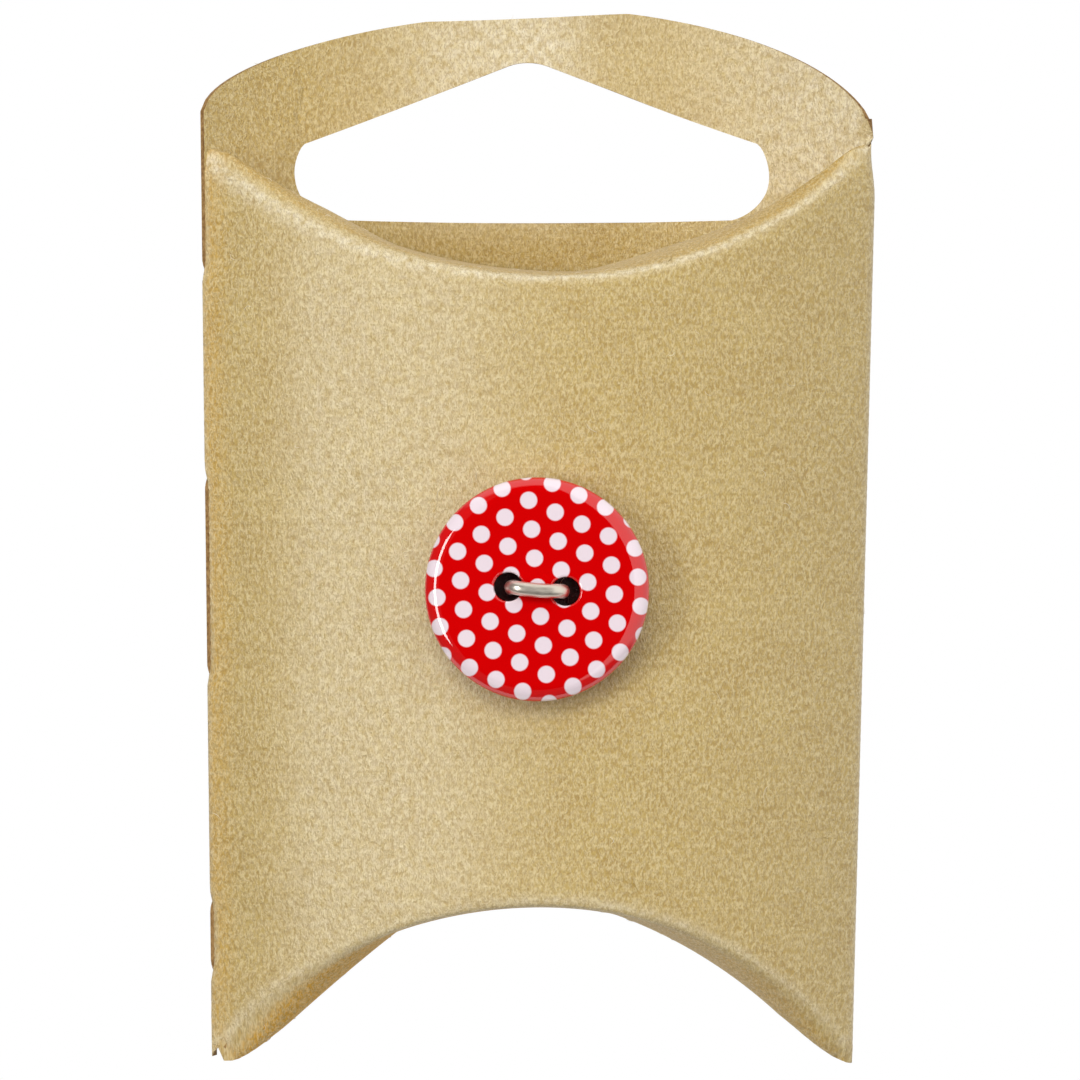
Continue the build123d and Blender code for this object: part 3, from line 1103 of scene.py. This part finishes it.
def make_button(name):
    """Turned disc with two drilled holes, built as rings, with its seat places as UV map."""
    shape = bmesh.new()
    places = {}

    def add_ring(points, height):
        made = []
        for x, y in points:
            vertex = shape.verts.new(on_seat(x, y, height))
            places[vertex] = (x, y)
            made.append(vertex)
        return made

    rings = [add_ring(ring(button_segments, radius), height) for radius, height in rim_profile()]
    skin(shape, rings)
    centres = [Vector((side * sew_hole_pitch / 2, 0)) for side in (-1, 1)]
    holes = []
    for centre in centres:
        profile = hole_profile()
        levels = [add_ring(ring(hole_segments, radius, centre.x), height) for radius, height in profile]
        skin(shape, levels)
        holes.append(levels)
    clear = sew_hole_diameter / 2 + sew_hole_round * mouth_clear_share
    for end in (0, -1):
        loops = [rings[end]] + [levels[end] for levels in holes]
        corners = [vertex for loop in loops for vertex in loop]
        edges, start = [], 0
        for loop in loops:
            edges += [(start + i, start + (i + 1) % len(loop)) for i in range(len(loop))]
            start += len(loop)
        flat = [Vector(places[vertex]) for vertex in corners]
        _, _, triangles, old, _, _ = delaunay_2d_cdt(flat, edges, [], 0, merge_distance)
        for triangle in triangles:
            middle = sum((flat[old[i][0]] for i in triangle), Vector((0, 0))) / 3
            if all((middle - centre).length > clear for centre in centres):
                shape.faces.new([corners[old[i][0]] for i in triangle])
    layer = shape.loops.layers.uv.new("seat")
    for face in shape.faces:
        for loop in face.loops:
            loop[layer].uv = places[loop.vert]
    return closed_mesh(shape, name)


def spotted_resin_material(name):
    """Polished red resin with white spots printed under a clear top coat."""
    material = bpy.data.materials.new(name)
    tree, shader = node_links(material)
    uv = tree.nodes.new("ShaderNodeUVMap")
    uv.uv_map = "seat"
    turned = tree.nodes.new("ShaderNodeMapping")
    turned.vector_type = "TEXTURE"
    turned.inputs["Location"].default_value = (*spot_start, 0)
    turned.inputs["Rotation"].default_value = (0, 0, math.radians(spot_turn))
    lay(tree, uv.outputs["UV"], turned.inputs["Vector"])
    half_cell = (spot_pitch / 2, spot_pitch * math.sqrt(3) / 2, 0.5)
    gaps = []
    for shift in ((0, 0, 0), (*half_cell[:2], 0)):
        wrapped = tree.nodes.new("ShaderNodeVectorMath")
        wrapped.operation = "WRAP"
        lay(tree, vectors(tree, "ADD", turned.outputs["Vector"], shift), wrapped.inputs[0])
        wrapped.inputs[1].default_value = half_cell
        wrapped.inputs[2].default_value = [-size for size in half_cell]
        gaps.append(vectors(tree, "LENGTH", wrapped.outputs["Vector"]))
    radius = spot_diameter / 2
    spot = ranged(tree, maths(tree, "MINIMUM", *gaps), radius + spot_edge, radius - spot_edge)
    lay(tree, mixed(tree, spot, button_red, spot_white), shader.inputs["Base Color"])
    shader.inputs["Roughness"].default_value = resin_roughness
    shader.inputs["IOR"].default_value = resin_ior
    shader.inputs["Coat Weight"].default_value = 1.0
    shader.inputs["Coat Roughness"].default_value = coat_roughness
    return material


button_disc = in_scene("button_disc", smoothed(make_button("button_disc"), button_sharp_angle))
button_disc.data.materials.append(spotted_resin_material("spotted_resin"))
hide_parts("button")
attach(button_disc, "root")

# The staple: one length of bright steel wire pushed through the button's holes and the card,
# and clinched flat inside. Its crown has sagged a little towards the foot of the card.
wire_diameter = 1.15
wire_bend = 0.95
wire_lift = 0.05
leg_draw = 0.25
staple_end_gap = 0.9
crown_sag = 0.12
wire_segments = 32
bend_steps = 10
crown_steps = 12
wire_silver = linear(232, 222, 206)
wire_fineness = 1800
wire_detail = 2
wire_roughness = (0.3, 0.48)
wire_sharp_angle = 50


def rounded_path(corners, radius):
    """Path through corners, each right-angled one replaced by steps along an arc."""
    path = [corners[0]]
    for before, corner, after in zip(corners, corners[1:], corners[2:]):
        towards = (before - corner).normalized()
        away = (after - corner).normalized()
        centre = corner + (towards + away) * radius
        for step in range(bend_steps + 1):
            turn = math.pi / 2 * step / bend_steps
            path.append(centre - away * radius * math.cos(turn) - towards * radius * math.sin(turn))
    return path + [corners[-1]]


def make_staple(name):
    """Tube along the wire's path, with flat cut ends."""
    leg = sew_hole_pitch / 2 - leg_draw
    crown = button_thickness + wire_lift + wire_diameter / 2
    clinch = -button_gap - card_thickness - layer_gap - wire_diameter / 2
    half = [(-staple_end_gap / 2, clinch), (-leg, clinch), (-leg, crown)]
    corners = [Vector(corner) for corner in half + [(-x, height) for x, height in half[::-1]]]
    path = rounded_path(corners, wire_bend)
    middle = len(path) // 2
    start, end = path[middle - 1], path[middle]
    path[middle:middle] = [start.lerp(end, step / crown_steps) for step in range(1, crown_steps)]
    shape = bmesh.new()
    rings = []
    for i, point in enumerate(path):
        along = (path[min(i + 1, len(path) - 1)] - path[max(i - 1, 0)]).normalized()
        side = Vector((-along.y, along.x))
        sag = crown_sag * max(1 - (point.x / leg) ** 2, 0) if point.y > button_thickness else 0
        made = []
        for x, y in ring(wire_segments, wire_diameter / 2):
            made.append(shape.verts.new(on_seat(point.x + side.x * x, y - sag, point.y + side.y * x)))
        rings.append(made)
    skin(shape, rings)
    shape.faces.new(rings[0])
    shape.faces.new(rings[-1][::-1])
    return closed_mesh(shape, name)


def wire_material(name):
    """Bright plated steel, a little dulled in patches."""
    material = bpy.data.materials.new(name)
    tree, shader = node_links(material)
    place = tree.nodes.new("ShaderNodeTexCoord").outputs["Object"]
    patches = noise_at(tree, place, [wire_fineness] * 3, detail=wire_detail)
    dulled = ranged(tree, patches, noise_low, noise_high, *wire_roughness)
    lay(tree, dulled, shader.inputs["Roughness"])
    shader.inputs["Base Color"].default_value = wire_silver
    shader.inputs["Metallic"].default_value = 1
    return material


staple_wire = in_scene("staple_wire", smoothed(make_staple("staple_wire"), wire_sharp_angle))
staple_wire.data.materials.append(wire_material("bright_wire"))
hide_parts("staple")
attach(staple_wire, "root")

# The stage: a white floor well under the hanging card and a white wall well behind it.
# Both look white to the camera and in reflections, and take the light as pale matt board.
floor_drop = 0.3
floor_half = 0.5
floor_front = 0.1
wall_gap = 1.0
wall_half = 3.0
stage_pale = (0.8, 0.8, 0.8, 1)


def white_stage_material(name):
    """Pale matt surface that keeps its shadows and shows as white to the camera."""
    material = bpy.data.materials.new(name)
    material.use_nodes = True
    tree = material.node_tree
    tree.nodes.clear()
    ray = tree.nodes.new("ShaderNodeLightPath").outputs
    seen = maths(tree, "MAXIMUM", ray["Is Camera Ray"], ray["Is Glossy Ray"])
    seen = maths(tree, "MAXIMUM", seen, ray["Is Transmission Ray"])
    matt = tree.nodes.new("ShaderNodeBsdfDiffuse")
    matt.inputs["Color"].default_value = stage_pale
    white = tree.nodes.new("ShaderNodeEmission")
    mix = tree.nodes.new("ShaderNodeMixShader")
    output = tree.nodes.new("ShaderNodeOutputMaterial")
    lay(tree, seen, mix.inputs["Fac"])
    lay(tree, matt.outputs["BSDF"], mix.inputs[1])
    lay(tree, white.outputs["Emission"], mix.inputs[2])
    lay(tree, mix.outputs["Shader"], output.inputs["Surface"])
    return material


white_stage = white_stage_material("white_stage")
low, high = cad_box
floor_place = Vector((0, floor_half - floor_front, low.z - floor_drop))
wall_place = Vector((0, high.y + wall_gap, 0))
stage_boards = {
    "floor": (floor_place, floor_half, [(-1, -1, 0), (1, -1, 0), (1, 1, 0), (-1, 1, 0)]),
    "wall": (wall_place, wall_half, [(-1, 0, -1), (1, 0, -1), (1, 0, 1), (-1, 0, 1)]),
}
for name, (place, half, corners) in stage_boards.items():
    mesh = bpy.data.meshes.new(name)
    mesh.from_pydata([Vector(corner) * half + place for corner in corners], [], [(0, 1, 2, 3)])
    mesh.materials.append(white_stage)
    in_scene(name, mesh)

# The light: a tall soft lamp at the left and a broad one over the camera, in a room that is pale at
# the right and overhead, and dark straight in front. Only the camera sees the whole room as white.
lamps = {
    "left_light": {"place": (-0.5, -0.66, 0.0), "size": (0.2, 0.6), "power": 3.6, "in_gloss": True},
    "front_light": {"place": (-0.12, -0.8, 0.4), "size": (0.4, 0.3), "power": 3.0, "in_gloss": False},
}
room_left = 0.1
room_right = 1.0
room_front = 0.0
room_overhead = 1.0
room_below = 0.12
front_from = -14.0
front_to = 10.0
right_to = 118.0
room_edge = 2.0
overhead_from = 48.0
overhead_to = 58.0
below_from = -24.0
below_to = -32.0

for name, facts in lamps.items():
    lamp_data = bpy.data.lights.new(name, "AREA")
    lamp_data.shape = "RECTANGLE"
    lamp_data.size, lamp_data.size_y = facts["size"]
    lamp_data.energy = facts["power"]
    lamp = in_scene(name, lamp_data)
    lamp.location = facts["place"]
    lamp.rotation_mode = "QUATERNION"
    lamp.rotation_quaternion = ((low + high) / 2 - lamp.location).to_track_quat("-Z", "Y")
    lamp.visible_glossy = facts["in_gloss"]

room = bpy.data.worlds.new("room")
bpy.context.scene.world = room
room.use_nodes = True
tree = room.node_tree
background = tree.nodes["Background"]
direction = tree.nodes.new("ShaderNodeSeparateXYZ")
lay(tree, tree.nodes.new("ShaderNodeTexCoord").outputs["Generated"], direction.inputs[0])
ahead = maths(tree, "MULTIPLY", direction.outputs["Y"], -1.0)
bearing = maths(tree, "DEGREES", maths(tree, "ARCTAN2", direction.outputs["X"], ahead))
climb = maths(tree, "DEGREES", maths(tree, "ARCSINE", direction.outputs["Z"]))


def room_part(low_bearing, high_bearing, level):
    """Level of a part of the room between two bearings, in degrees to the right of straight in front."""
    rise = ranged(tree, bearing, low_bearing - room_edge / 2, low_bearing + room_edge / 2)
    fall = ranged(tree, bearing, high_bearing + room_edge / 2, high_bearing - room_edge / 2)
    return maths(tree, "MULTIPLY", maths(tree, "MULTIPLY", rise, fall), level)


walls = maths(tree, "ADD", room_part(front_to, right_to, room_right - room_left), room_left)
walls = maths(tree, "SUBTRACT", walls, room_part(front_from, front_to, room_left - room_front))
overhead = ranged(tree, climb, overhead_from, overhead_to)
below = ranged(tree, climb, below_from, below_to)
level_part = maths(tree, "SUBTRACT", maths(tree, "SUBTRACT", 1.0, overhead), below)
light = maths(tree, "MULTIPLY", walls, level_part)
light = maths(tree, "ADD", light, maths(tree, "MULTIPLY", overhead, room_overhead))
light = maths(tree, "ADD", light, maths(tree, "MULTIPLY", below, room_below))
seen = tree.nodes.new("ShaderNodeLightPath").outputs["Is Camera Ray"]
lay(tree, maths(tree, "MAXIMUM", light, seen), background.inputs["Strength"])
background.inputs["Color"].default_value = (1, 1, 1, 1)

# The camera: level with the button's middle, at the photograph's distance and framing.
# The frame is 1080 pixels square, and the lens is set so that the side folds show at their size.
image_pixels = 1080
camera_distance = 450.0
camera_level = button_level
pixels_per_mm = 12.08
axis_pixel = (537, 590)
sensor = 36.0
nearest_seen = 0.01
farthest_seen = 20

camera_data = bpy.data.cameras.new("camera")
camera_data.sensor_width = sensor
camera_data.lens = pixels_per_mm * camera_distance / image_pixels * sensor
camera_data.shift_x = (image_pixels / 2 - axis_pixel[0]) / image_pixels
camera_data.shift_y = (axis_pixel[1] - image_pixels / 2) / image_pixels
camera_data.clip_start = nearest_seen
camera_data.clip_end = farthest_seen
camera = in_scene("camera", camera_data)
camera.location = Vector((0, fold_depth - camera_distance, corner_height + camera_level)) * MM
camera.rotation_euler = (math.pi / 2, 0, 0)
bpy.context.scene.camera = camera
bpy.context.scene.view_settings.view_transform = "Standard"
